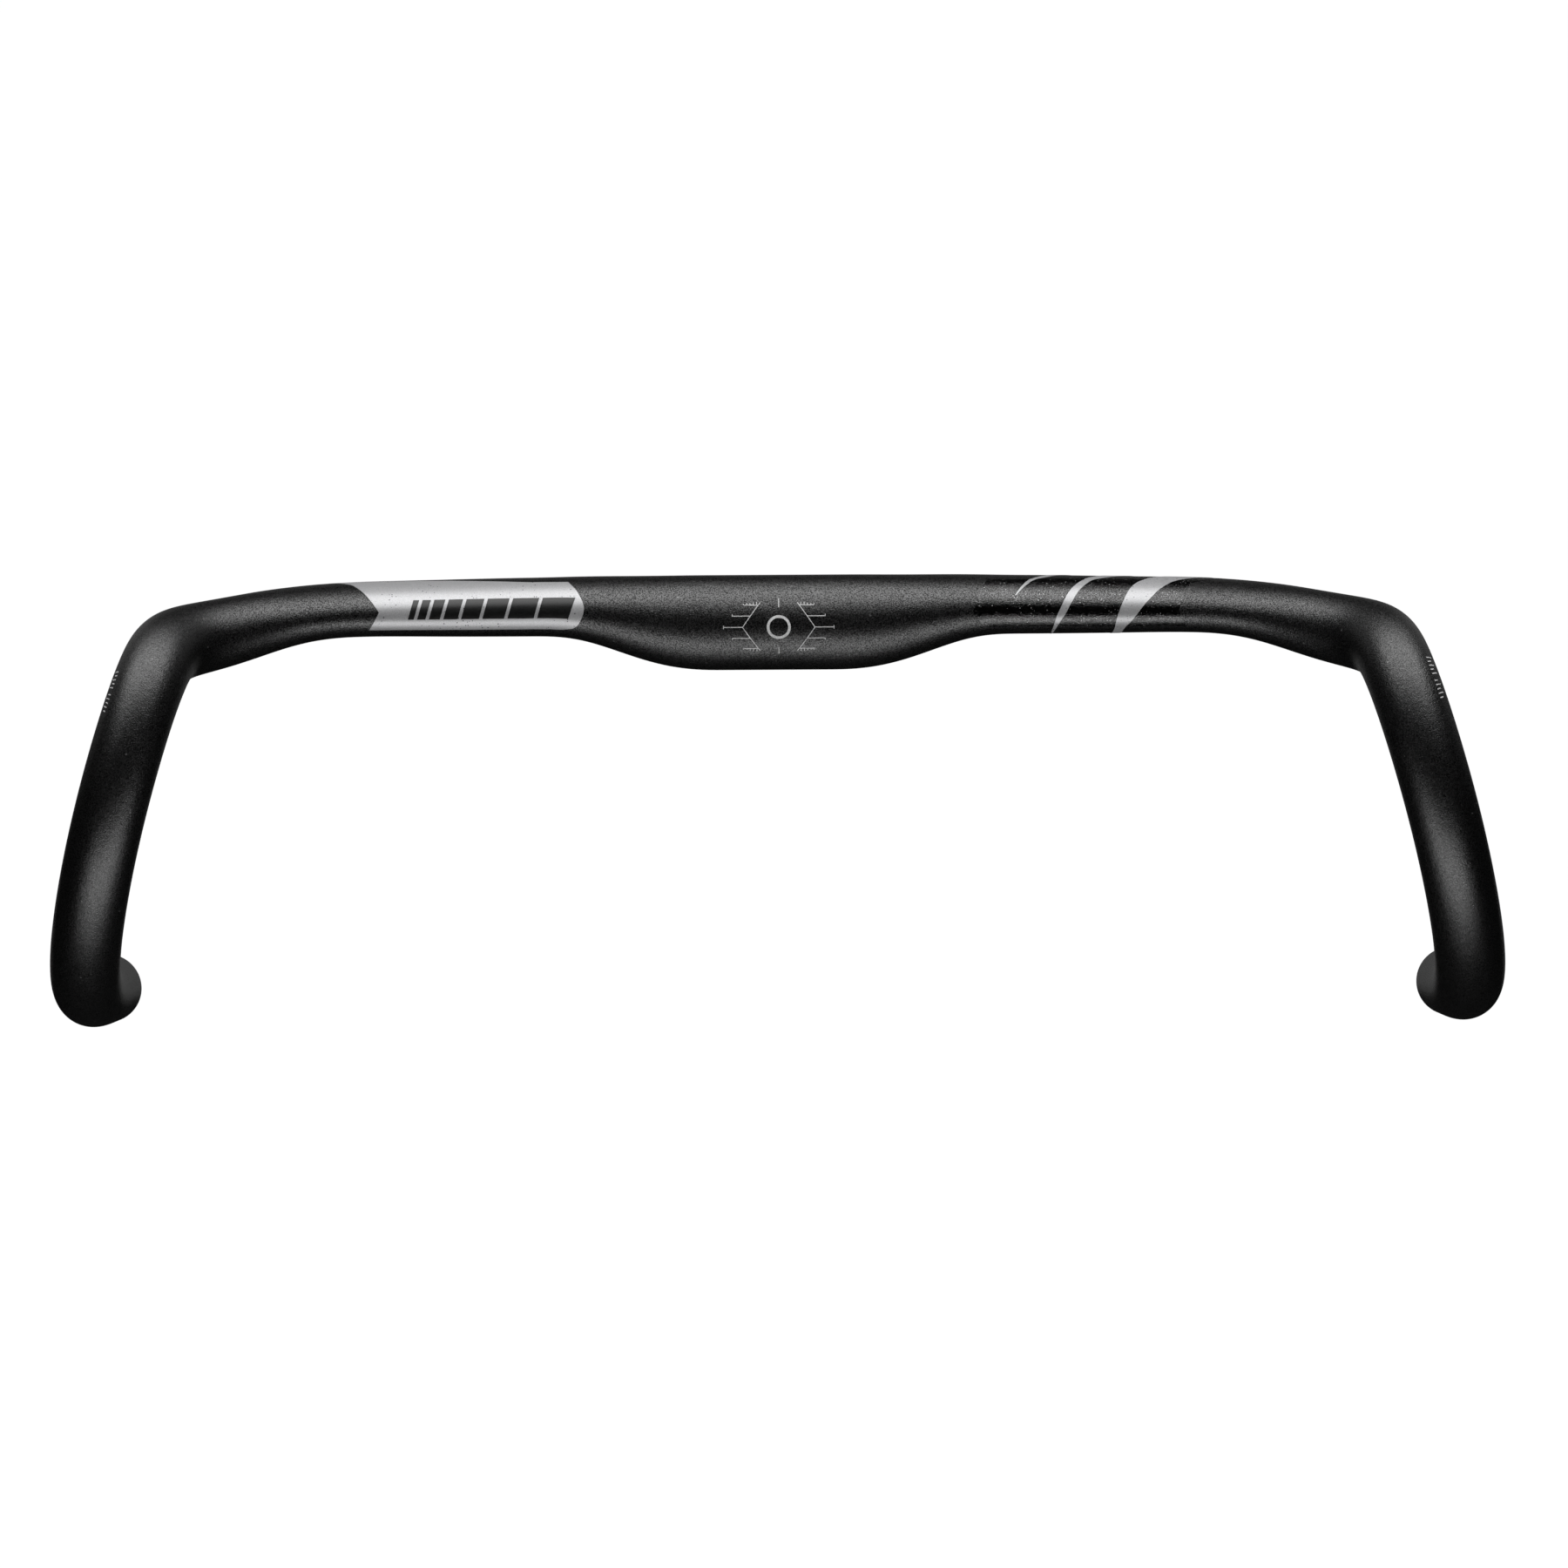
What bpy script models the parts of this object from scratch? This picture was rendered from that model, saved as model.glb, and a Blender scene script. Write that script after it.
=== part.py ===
"""Drop handlebar for a road or gravel bicycle.

One butted aluminium tube, bulged to 31.8 mm where the stem clamps it, flattened into a wing on each top and
round from the brake levers to the open ends, with the transfers and printed marks that lie on it.

Frame: the origin is the centre of the stem clamp zone, on the tube's axis. +Z is up, -Y is the direction of
travel, +Y is towards the rider, and +X is the rider's left. Lengths are in millimetres and angles in degrees
up to the last step, which scales each mesh to metres.

A place on the bar is given by its station, the distance along the axis from the clamp's centre (negative on
the rider's right), and by its turn, the angle round the section: 0 on top, 90 on the leading edge, 180 below.
"""

import bmesh
import bpy
import numpy as np

MM = 0.001

# ---------------------------------------------------------------- the bent tube
HALF_LENGTH = 423          # from the clamp's centre to one open end, along the axis
BEND_SMOOTHING = 16        # length over which one bend blends into the next
FLARE = 14.8               # the hook's plane leans outwards from the vertical by this much
TOE_OUT = 6.7              # the hook's plane opens forwards by this much

# (station, heading turned forwards from +X): the swept tops and the corner
PLAN_TABLE = (
    (60, 0.0), (85, 1.3), (105, 2.3), (125, 2.7), (143, 8.4), (158, 21.8), (170, 32.2),
    (181, 36.0), (192, 36.0), (204, 48.9), (218, 90.0 - TOE_OUT),
)
# (station, dip below the horizontal): the tops just before the corner
DIP_TABLE = ((100, 0.0), (120, -0.5), (140, -0.8), (160, 3.4), (180, 6.2), (200, -1.1), (220, -1.0), (240, 0.0))
# (station, angle turned down and back in the hook's plane): reach, hook and drop
HOOK_TABLE = (
    (130, 0.0), (184, -0.1), (198, -0.6), (212, -0.6), (228, 29.6), (248, 59.4), (272, 81.0),
    (298, 102.7), (324, 119.0), (350, 135.8), (375, 152.1), (395, 165.4),
)

# ---------------------------------------------------------------- the section
CLAMP_RADIUS = 15.9        # 31.8 mm clamp
GRIP_RADIUS = 11.66        # round section for levers and tape
WING_HALF_DEPTH = 13.8     # fore and aft
WING_HALF_HEIGHT = 9.57
WING_RISE = 5.8            # lifts the wing level with the top of the clamp zone
BULGE_START, BULGE_END = 17.4, 82.8
RISE_START, RISE_END = 17.3, 79.6
ROUND_START, ROUND_END = 138.8, 199.9
# (station, change of half height)
HEIGHT_TABLE = ((80, 0.0), (100, -0.2), (130, -0.7), (160, -0.9), (190, -0.1), (215, 0.8), (240, 0.0))
HEIGHT_SMOOTHING = 20

# (station, wall): butted, thick at the clamp, thin towards the ends
WALL_TABLE = ((0, 2.6), (45, 2.6), (100, 2.0), (180, 2.2), (250, 2.2), (320, 1.8), (423, 1.8))

OUTER_SIDES = 28
INNER_SIDES = 14

# ---------------------------------------------------------------- transfers and printed marks
ON_TUBE = (0.30, 0.50)     # underside and face of a transfer, above the tube
ON_TRANSFER = (0.80, 1.00)  # underside and face of a mark that lies over a transfer
LOWER_EDGE = 118.0         # turn of both panels' lower edge
# (station, turn) of both panels' upper edge, which crosses the top of the wing
UPPER_EDGE = ((70, 15.0), (84, 12.0), (96, 5.5), (110, -3.0), (125, -10.0), (148, -17.0))
# (turn, station) of the two ends: a blunt point towards the clamp and a notch on the outside
SILVER_INNER = ((-20, 72.0), (15, 69.6), (21, 69.0), (41, 66.5), (74, 64.0), (97, 65.0), (113, 67.5), (118, 71.0))
SILVER_OUTER = ((-20, 148.0), (-4, 144.0), (6, 141.5), (33, 138.0), (58, 135.0), (76, 133.0), (118, 136.7))
GLOSS_INNER = ((-20, 73.0), (15, 71.0), (26, 70.0), (45, 68.0), (80, 66.0), (110, 68.5), (118, 71.5))
GLOSS_OUTER = ((-20, 149.0), (-4, 145.0), (18, 139.0), (50, 137.0), (80, 135.5), (118, 138.4))

# the row of leaning blocks on the silver panel: widths from the clamp outwards, with one space between
BLOCK_WIDTHS = (10.5, 8.8, 7.3, 6.0, 4.8, 3.7, 2.8, 2.0)
BLOCK_SPACE = 1.15
BLOCK_START = 69.0         # station of the first block's foot
BLOCK_LEAN = 2.0           # a block's head lies this much nearer the clamp than its foot
BLOCK_TURNS = (52.0, 92.0)
BLOCK_FOOT = 3.0           # height of the foot line that joins the blocks, as a turn

# (turn, station of the edge nearer the clamp, station of the outer edge) of the three tapering stripes
STRIPE_INNER = ((-62, 104.0, 104.4), (-40, 98.0, 101.5), (-18, 92.5, 96.0), (4, 87.0, 90.0), (12, 85.0, 87.0),
                (30, 82.4, 83.6), (52, 79.9, 80.2))
STRIPE_MIDDLE = ((-66, 124.0, 124.6), (-42, 116.5, 122.0), (-20, 110.0, 117.5), (-2, 105.8, 111.5), (5, 104.0, 108.6),
                 (12, 102.8, 106.0), (22, 101.0, 104.2), (44, 98.0, 101.0), (59, 96.6, 99.5), (73, 95.5, 98.2),
                 (92, 94.0, 96.5), (100, 93.6, 95.6), (130, 92.4, 93.3), (157, 91.8, 92.1))
STRIPE_OUTER = ((-66, 146.0, 146.8), (-42, 138.0, 146.5), (-20, 130.5, 143.5), (1, 124.5, 137.0), (8, 123.0, 134.5),
                (20, 120.5, 131.6), (26, 119.6, 130.4), (40, 118.0, 127.8), (52, 117.0, 126.0), (72, 115.5, 123.0),
                (100, 114.0, 119.5), (126, 113.2, 116.5), (158, 112.0, 115.0), (180, 111.0, 113.0), (200, 110.0, 110.4))

# the centring marks in the clamp zone lie about this station, a turn of 81.5 being their middle
MARK_STATION = 1.1
MARK_TURN = 81.5
CHEVRON = ((51.0, 6.15), (81.5, 12.05), (112.0, 6.15))  # (turn, distance from MARK_STATION) of one chevron
LINE = 0.32                                             # width of the printed lines
RULE_TURNS = (54.4, 68.0, 81.5, 95.0, 108.6)            # the ruled lines, from the top one to the lowest
RULE_LENGTHS = (5.13, 6.13, 6.45, 6.13, 5.13)
TICK_START, TICK_PITCH = 0.53, 1.11                     # from the chevron to the first tick, and between ticks
TICK_LENGTHS = (1.0, 0.9, 0.62, 0.5, 0.42)              # up from the top line and down from the lowest
END_MARKS = ((0.5, 0.0), (0.45, 0.45), (0.0, 0.4))      # up and down from the ends of the three lines between
EMBLEM_RADII = (3.1, 4.0)
CENTRE_TICK_TURNS = ((45.5, 57.0), (107.5, 116.5))

# the two groups of ticks on the outside of each arm: (stations, turns) of the row on the left and on the right
SIZE_ROWS = {1.0: ((234.8, 247.8), (-42.0, -27.0)), -1.0: ((236.8, 249.7), (-48.0, -35.0))}
SIZE_TICKS = 5             # in a group
SIZE_GAP = 0.9             # extra space between the groups
SIZE_LINE = 0.34
SIZE_LEAN = 0.7            # a tick's outer end lies this much nearer the clamp

# ---------------------------------------------------------------- finishes: colour, roughness, metallic
FINISHES = {
    "matt_black": ((0.012, 0.012, 0.012), 0.36, 0.35),
    "satin_silver": ((0.42, 0.42, 0.43), 0.40, 0.50),
    "gloss_black": ((0.006, 0.006, 0.007), 0.12, 0.0),
    "print_black": ((0.010, 0.010, 0.011), 0.40, 0.0),
    "print_white": ((0.60, 0.60, 0.60), 0.50, 0.0),
}


def smoothstep(x):
    """Rises from 0 to 1 with no slope and no curvature at either end."""
    x = np.clip(x, 0.0, 1.0)
    return x * x * x * (x * (6.0 * x - 15.0) + 10.0)


def blend(values, width):
    """Averages values over a window, so that a table of straight runs becomes a smooth curve."""
    padded = np.concatenate([np.full(width, values[0]), values, np.full(width, values[-1])])
    window = np.ones(width + 1) / (width + 1)
    return np.convolve(padded, window, "same")[width:-width]


def table(x, rows, column=1):
    """Reads a table of (key, value, ...) rows at x."""
    return np.interp(x, [r[0] for r in rows], [r[column] for r in rows])


class Bar:
    """The bar's axis and section at every millimetre of its left half, which the right half mirrors."""

    def __init__(self):
        s = np.arange(HALF_LENGTH + 1, dtype=float)
        toe, flare = np.radians(TOE_OUT), np.radians(FLARE)
        ahead = np.array([np.sin(toe), -np.cos(toe), 0.0])
        down = np.array([np.sin(flare) * np.cos(toe), np.sin(flare) * np.sin(toe), -np.cos(flare)])
        hinge = np.cross(ahead, down)
        heading, dip, turn = (
            blend(blend(np.radians(table(s, rows)), BEND_SMOOTHING), BEND_SMOOTHING)
            for rows in (PLAN_TABLE, DIP_TABLE, HOOK_TABLE)
        )
        flat = np.stack([np.cos(heading) * np.cos(dip), -np.sin(heading) * np.cos(dip), -np.sin(dip)], 1)
        c, n = np.cos(turn)[:, None], np.sin(turn)[:, None]
        along = flat * c + np.cross(hinge, flat) * n + hinge * (flat @ hinge)[:, None] * (1.0 - c)
        along /= np.linalg.norm(along, axis=1)[:, None]
        axis = np.zeros_like(along)
        axis[1:] = np.cumsum((along[:-1] + along[1:]) / 2.0, axis=0)

        bulge = smoothstep((s - BULGE_START) / (BULGE_END - BULGE_START))
        rise = smoothstep((s - RISE_START) / (RISE_END - RISE_START))
        rounding = smoothstep((s - ROUND_START) / (ROUND_END - ROUND_START))
        extra = blend(blend(table(s, HEIGHT_TABLE), HEIGHT_SMOOTHING), HEIGHT_SMOOTHING)
        depth = WING_HALF_DEPTH * (1 - rounding) + GRIP_RADIUS * rounding
        height = WING_HALF_HEIGHT * (1 - rounding) + GRIP_RADIUS * rounding
        self.station = s
        self.half_depth = CLAMP_RADIUS * (1 - bulge) + depth * bulge
        self.half_height = CLAMP_RADIUS * (1 - bulge) + height * bulge + extra
        self.wall = table(s, WALL_TABLE)
        axis[:, 2] += WING_RISE * rise
        self.axis = axis
        along = np.gradient(axis, axis=0)
        along /= np.linalg.norm(along, axis=1)[:, None]
        self.along = along
        # a section's own upward direction is carried along the axis without twist
        up = np.zeros_like(axis)
        up[0] = (0.0, 0.0, 1.0)
        for i in range(1, len(s)):
            v = up[i - 1] - np.dot(up[i - 1], along[i]) * along[i]
            up[i] = v / np.linalg.norm(v)
        self.up = up
        self.lead = np.cross(along, up)

    def read(self, values, station):
        k = abs(station)
        if values.ndim == 1:
            return float(np.interp(k, self.station, values))
        return np.array([np.interp(k, self.station, values[:, i]) for i in range(3)])

    def point(self, station, turn, lift):
        """The point lift above the tube's surface, or below it where lift is negative."""
        a, b = self.read(self.half_depth, station), self.read(self.half_height, station)
        lead, up = self.read(self.lead, station), self.read(self.up, station)
        f = np.radians(turn)
        outward = lead * np.sin(f) / a + up * np.cos(f) / b
        outward /= np.linalg.norm(outward)
        p = self.read(self.axis, station) + lead * a * np.sin(f) + up * b * np.cos(f) + outward * lift
        return p * np.array([-1.0 if station < 0 else 1.0, 1.0, 1.0])

    def ring(self, station, sides, inset):
        """One section of the tube: its outside, or its bore where inset is the wall."""
        a = self.read(self.half_depth, station) - inset
        b = self.read(self.half_height, station) - inset
        centre, lead, up = (self.read(v, station) for v in (self.axis, self.lead, self.up))
        f = np.arange(sides) * 2.0 * np.pi / sides
        p = centre + a * np.sin(f)[:, None] * lead + b * np.cos(f)[:, None] * up
        return p * np.array([-1.0 if station < 0 else 1.0, 1.0, 1.0])

    def stations(self):
        """Section places for one half: closer where the axis bends or the section changes."""
        bend = np.linalg.norm(np.gradient(self.along, axis=0), axis=1)
        change = np.abs(np.gradient(np.gradient(self.half_height)))
        density = 1.0 / 13.0 + 2.4 * bend + 3.0 * change
        count = np.concatenate([[0.0], np.cumsum((density[1:] + density[:-1]) / 2.0)])
        steps = int(round(count[-1]))
        return np.interp(np.linspace(0.0, count[-1], steps + 1), count, self.station)


def material(name):
    found = bpy.data.materials.get(name)
    if found:
        return found
    colour, roughness, metallic = FINISHES[name]
    made = bpy.data.materials.new(name)
    made.use_nodes = True
    shader = made.node_tree.nodes["Principled BSDF"]
    shader.inputs["Base Color"].default_value = (*colour, 1.0)
    shader.inputs["Roughness"].default_value = roughness
    shader.inputs["Metallic"].default_value = metallic
    made.diffuse_color = (*colour, 1.0)
    return made


def place(name, finish, bm, origin, parent):
    """Turns a bmesh in millimetres into a named object in metres, with its origin at the given point."""
    bmesh.ops.recalc_face_normals(bm, faces=bm.faces)
    for v in bm.verts:
        v.co = [(v.co[i] - origin[i]) * MM for i in range(3)]
    mesh = bpy.data.meshes.new(name)
    bm.to_mesh(mesh)
    bm.free()
    mesh.shade_smooth()
    mesh.set_sharp_from_angle(angle=np.radians(40.0))
    mesh.materials.append(material(finish))
    thing = bpy.data.objects.new(name, mesh)
    thing.location = [float(c) * MM for c in origin]
    bpy.context.collection.objects.link(thing)
    thing.parent = parent
    return thing


def make_tube(bar, parent):
    """The butted tube: an outer skin and a bore lofted over the same sections, closed by a ring at each end."""
    half = bar.stations()
    places = np.concatenate([-half[:0:-1], half])
    bm = bmesh.new()
    outer = [[bm.verts.new(p) for p in bar.ring(s, OUTER_SIDES, 0.0)] for s in places]
    # the bore's sides are set out a little, so that its flats enclose the same area as the round bore
    swell = 1.0 / np.sqrt(np.sinc(2.0 / INNER_SIDES))
    inner = []
    for s in places:
        wall = bar.read(bar.wall, s)
        radius = bar.read(bar.half_height, s) - wall
        inner.append([bm.verts.new(p) for p in bar.ring(s, INNER_SIDES, wall - radius * (swell - 1.0))])
    for rings, sides in ((outer, OUTER_SIDES), (inner, INNER_SIDES)):
        for a, b in zip(rings[:-1], rings[1:]):
            for i in range(sides):
                j = (i + 1) % sides
                bm.faces.new((a[i], a[j], b[j], b[i]))
    ratio = OUTER_SIDES // INNER_SIDES
    for o, n in ((outer[0], inner[0]), (outer[-1], inner[-1])):
        for i in range(INNER_SIDES):
            j = (i + 1) % INNER_SIDES
            arc = [o[(i * ratio + k) % OUTER_SIDES] for k in range(ratio + 1)]
            bm.faces.new((n[i], arc[0], arc[1]))
            bm.faces.new((n[i], arc[1], n[j]))
            bm.faces.new((n[j], arc[1], arc[2]))
    return place("handlebar_tube", "matt_black", bm, (0.0, 0.0, 0.0), parent)


def make_film(name, finish, bar, nodes, lifts, parent, mask=None, loop=False):
    """A thin closed film that follows the tube.

    nodes is a grid of (station, turn), row by row. mask tells which of its cells are there, and loop joins each
    row's last node to its first.
    """
    rows, columns = len(nodes), len(nodes[0])
    cells = columns if loop else columns - 1
    if mask is None:
        mask = [[True] * cells for _ in range(rows - 1)]
    bm = bmesh.new()
    verts = {}

    def vert(i, j, side):
        key = (i, j % columns if loop else j, side)
        if key not in verts:
            station, turn = nodes[key[0]][key[1]]
            verts[key] = bm.verts.new(bar.point(station, turn, lifts[side]))
        return verts[key]

    def there(i, j):
        if loop:
            j %= cells
        return 0 <= i < rows - 1 and 0 <= j < cells and mask[i][j]

    for i in range(rows - 1):
        for j in range(cells):
            if not there(i, j):
                continue
            corners = ((i, j), (i, j + 1), (i + 1, j + 1), (i + 1, j))
            for side in (0, 1):
                bm.faces.new([vert(a, b, side) for a, b in corners])
            for (a, b), near in (((0, 1), (i - 1, j)), ((1, 2), (i, j + 1)), ((2, 3), (i + 1, j)), ((3, 0), (i, j - 1))):
                if not there(*near):
                    p, q = corners[a], corners[b]
                    bm.faces.new((vert(*p, 0), vert(*q, 0), vert(*q, 1), vert(*p, 1)))
    points = np.array([v.co for v in bm.verts])
    return place(name, finish, bm, points.mean(0), parent)


def make_panel(name, finish, bar, side, inner, outer, parent):
    """A panel wrapped over one wing, from its lower edge in front to its upper edge across the top."""
    across, along = 10, 11
    nodes = []
    for v in np.linspace(0.0, 1.0, across):
        row = []
        ends = []
        for rows, start in ((inner, 70.0), (outer, 140.0)):
            station = start
            for _ in range(6):
                station = table(LOWER_EDGE + v * (table(station, UPPER_EDGE) - LOWER_EDGE), rows)
            ends.append(station)
        for u in np.linspace(0.0, 1.0, along):
            station = ends[0] + u * (ends[1] - ends[0])
            row.append((side * station, LOWER_EDGE + v * (table(station, UPPER_EDGE) - LOWER_EDGE)))
        nodes.append(row)
    return make_film(name, finish, bar, nodes, ON_TUBE, parent)


def make_blocks(bar, parent):
    """A row of leaning blocks of falling width, joined by a foot line."""
    edges, solid = [BLOCK_START], []
    for i, width in enumerate(BLOCK_WIDTHS):
        edges.append(edges[-1] + width)
        solid.append(True)
        if i < len(BLOCK_WIDTHS) - 1:
            edges.append(edges[-1] + BLOCK_SPACE)
            solid.append(False)
    head, foot = BLOCK_TURNS
    turns = list(np.linspace(head, foot - BLOCK_FOOT, 5)) + [foot]
    nodes = [[(-(e - BLOCK_LEAN * (foot - t) / (foot - head)), t) for e in edges] for t in turns]
    mask = [solid] * 4 + [[True] * len(solid)]
    return make_film("silver_panel_blocks", "print_black", bar, nodes, ON_TRANSFER, parent, mask)


def make_stripe(name, bar, rows, parent):
    """A tapering stripe that climbs round the wing."""
    turns = []
    for a, b in zip(rows[:-1], rows[1:]):
        turns += list(np.linspace(a[0], b[0], max(1, int(round((b[0] - a[0]) / 11.0))) + 1)[:-1])
    turns.append(rows[-1][0])
    nodes = [[(table(t, rows, 1), t), (table(t, rows, 2), t)] for t in turns]
    return make_film(name, "satin_silver", bar, nodes, ON_TRANSFER, parent)


def make_scale(name, bar, side, parent):
    """A chevron with five ruled lines that run outwards from it: ticks on the outer two, end marks on the others."""
    per_mm = np.degrees(1.0 / CLAMP_RADIUS)
    half = LINE / 2.0
    edges = [-half, half]
    for i in range(len(TICK_LENGTHS)):
        edges += [TICK_START + TICK_PITCH * i - half, TICK_START + TICK_PITCH * i + half]
    edges += sorted({round(e, 3) for length in RULE_LENGTHS[1:4] for e in (length - LINE, length)})
    tops = [t - half * per_mm for t in RULE_TURNS]
    feet = [t + half * per_mm for t in RULE_TURNS]
    levels = {CHEVRON[0][0], CHEVRON[-1][0], CHEVRON[1][0]} | set(tops) | set(feet)
    for reach in TICK_LENGTHS:
        levels |= {tops[0] - reach * per_mm, feet[-1] + reach * per_mm}
    for k, (above, below) in enumerate(END_MARKS, 1):
        levels |= {tops[k] - above * per_mm, feet[k] + below * per_mm}
    levels = sorted(levels)
    nodes, mask = [], []
    for t in levels:
        # the chevron follows its own slope, and the rest stands square on the nearest ruled line
        rule = min(RULE_TURNS, key=lambda r: abs(r - t))
        anchor = table(t if abs(t - rule) <= half * per_mm + 0.01 else rule, CHEVRON)
        row = [MARK_STATION + side * (table(t, CHEVRON) + e) for e in edges[:2]]
        row += [MARK_STATION + side * (anchor + e) for e in edges[2:]]
        nodes.append([(station, t) for station in row])
    for low, high in zip(levels[:-1], levels[1:]):
        middle = (low + high) / 2.0
        row = [CHEVRON[0][0] <= middle <= CHEVRON[-1][0]]
        for j in range(1, len(edges) - 1):
            out = (edges[j] + edges[j + 1]) / 2.0
            there = False
            for k, length in enumerate(RULE_LENGTHS):
                there |= tops[k] < middle < feet[k] and out < length
                if k in (0, 4):
                    for i, reach in enumerate(TICK_LENGTHS):
                        if abs(out - TICK_START - TICK_PITCH * i) < half:
                            there |= k == 0 and tops[0] - reach * per_mm < middle < tops[0]
                            there |= k == 4 and feet[-1] < middle < feet[-1] + reach * per_mm
                elif length - LINE < out < length:
                    above, below = END_MARKS[k - 1]
                    there |= tops[k] - above * per_mm < middle < feet[k] + below * per_mm
            row.append(there)
        mask.append(row)
    return make_film(name, "print_white", bar, nodes, ON_TUBE, parent, mask)


def make_size_marks(name, bar, side, parent):
    """Two groups of leaning ticks along the arm, long and short in turn, joined by a thin line at their feet."""
    (start, end), (outer, inner) = SIZE_ROWS[side]
    count = 2 * SIZE_TICKS
    pitch = (end - SIZE_LINE - start - SIZE_GAP) / (count - 1)
    edges, solid = [], []
    for i in range(count):
        at = start + pitch * i + (SIZE_GAP if i >= SIZE_TICKS else 0.0)
        edges += [at, at + SIZE_LINE]
        solid.append("long" if i % 2 == 0 else "short")
        if i < count - 1:
            solid.append("space")
    per_mm = np.degrees(1.0 / GRIP_RADIUS)
    foot = inner - SIZE_LINE * per_mm
    middle = inner + (outer - inner) * 0.62
    nodes = [
        [(side * (e - SIZE_LEAN * (inner - t) / (inner - outer)), t) for e in edges] for t in (inner, foot, middle, outer)
    ]
    mask = [[True] * len(solid), [k != "space" for k in solid], [k == "long" for k in solid]]
    return make_film(name, "print_white", bar, nodes, ON_TUBE, parent, mask)


def make_emblem(bar, parent):
    """A plain ring between the two chevrons."""
    per_mm = np.degrees(1.0 / CLAMP_RADIUS)
    angles = np.arange(24) * 2.0 * np.pi / 24
    nodes = [
        [(MARK_STATION + r * np.cos(q), MARK_TURN + r * np.sin(q) * per_mm) for q in angles] for r in EMBLEM_RADII
    ]
    return make_film("centre_emblem", "print_white", bar, nodes, ON_TUBE, parent, loop=True)


def make_centre_tick(name, bar, turns, parent):
    low, high = turns
    nodes = [
        [(MARK_STATION - LINE / 2.0, t), (MARK_STATION + LINE / 2.0, t)]
        for t in np.linspace(low, high, 3)
    ]
    return make_film(name, "print_white", bar, nodes, ON_TUBE, parent)


def main():
    for thing in list(bpy.data.objects):
        bpy.data.objects.remove(thing, do_unlink=True)
    parent = bpy.data.objects.new("handlebar", None)
    bpy.context.collection.objects.link(parent)
    bar = Bar()
    make_tube(bar, parent)
    make_panel("silver_panel", "satin_silver", bar, -1.0, SILVER_INNER, SILVER_OUTER, parent)
    make_panel("gloss_panel", "gloss_black", bar, 1.0, GLOSS_INNER, GLOSS_OUTER, parent)
    make_blocks(bar, parent)
    make_stripe("stripe_inner", bar, STRIPE_INNER, parent)
    make_stripe("stripe_middle", bar, STRIPE_MIDDLE, parent)
    make_stripe("stripe_outer", bar, STRIPE_OUTER, parent)
    make_scale("clamp_scale_right", bar, -1.0, parent)
    make_scale("clamp_scale_left", bar, 1.0, parent)
    make_centre_tick("centre_mark_top", bar, CENTRE_TICK_TURNS[0], parent)
    make_centre_tick("centre_mark_bottom", bar, CENTRE_TICK_TURNS[1], parent)
    make_emblem(bar, parent)
    make_size_marks("size_marks_right", bar, -1.0, parent)
    make_size_marks("size_marks_left", bar, 1.0, parent)
    bpy.context.view_layer.update()


main()
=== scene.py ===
"""Looks of the drop handlebar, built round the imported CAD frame."""

import math

import bmesh
import bpy
import numpy as np
from mathutils import Matrix, Vector


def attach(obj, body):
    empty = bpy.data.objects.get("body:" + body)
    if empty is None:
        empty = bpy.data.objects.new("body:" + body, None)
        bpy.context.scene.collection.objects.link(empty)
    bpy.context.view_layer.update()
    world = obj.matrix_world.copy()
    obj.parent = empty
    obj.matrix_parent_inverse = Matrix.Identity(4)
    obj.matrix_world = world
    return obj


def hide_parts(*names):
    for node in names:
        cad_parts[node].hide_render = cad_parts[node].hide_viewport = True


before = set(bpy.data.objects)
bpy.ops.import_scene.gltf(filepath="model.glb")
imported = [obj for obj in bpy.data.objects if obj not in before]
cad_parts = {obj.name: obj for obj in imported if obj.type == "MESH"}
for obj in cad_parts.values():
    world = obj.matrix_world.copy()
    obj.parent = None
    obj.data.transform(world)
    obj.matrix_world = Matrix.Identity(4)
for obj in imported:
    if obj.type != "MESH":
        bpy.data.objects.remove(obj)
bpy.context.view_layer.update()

MM = 0.001

# ------------------------------------------------------------------------------------------------ camera
# the viewing angle: in front of the bar and a little above it
CAM_DISTANCE = 2.3454
CAM_ELEVATION = math.radians(15.698)
CAM_AZIMUTH = math.radians(0.291)
CAM_ROLL = math.radians(-0.403)
CAM_FOCAL_PX = 8050.0
CAM_TARGET = (2.39, -54.1)      # mm along the view's right and up


def make_camera():
    e, az, ro = CAM_ELEVATION, CAM_AZIMUTH, CAM_ROLL
    back = Vector((math.sin(az) * math.cos(e), -math.cos(az) * math.cos(e), math.sin(e)))
    right = Vector((math.cos(az), math.sin(az), 0.0))
    up = back.cross(right)
    r2 = right * math.cos(ro) + up * math.sin(ro)
    u2 = -right * math.sin(ro) + up * math.cos(ro)
    target = right * CAM_TARGET[0] * MM + up * CAM_TARGET[1] * MM
    data = bpy.data.cameras.new("camera")
    data.sensor_width = 36.0
    data.lens = CAM_FOCAL_PX / 1800.0 * 36.0
    data.clip_start, data.clip_end = 0.05, 200.0
    cam = bpy.data.objects.new("camera", data)
    bpy.context.scene.collection.objects.link(cam)
    m = Matrix.Identity(4)
    for col, v in enumerate((r2, u2, back)):
        for row in range(3):
            m[row][col] = v[row]
    m.translation = target + back * CAM_DISTANCE
    cam.matrix_world = m
    bpy.context.scene.camera = cam


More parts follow.
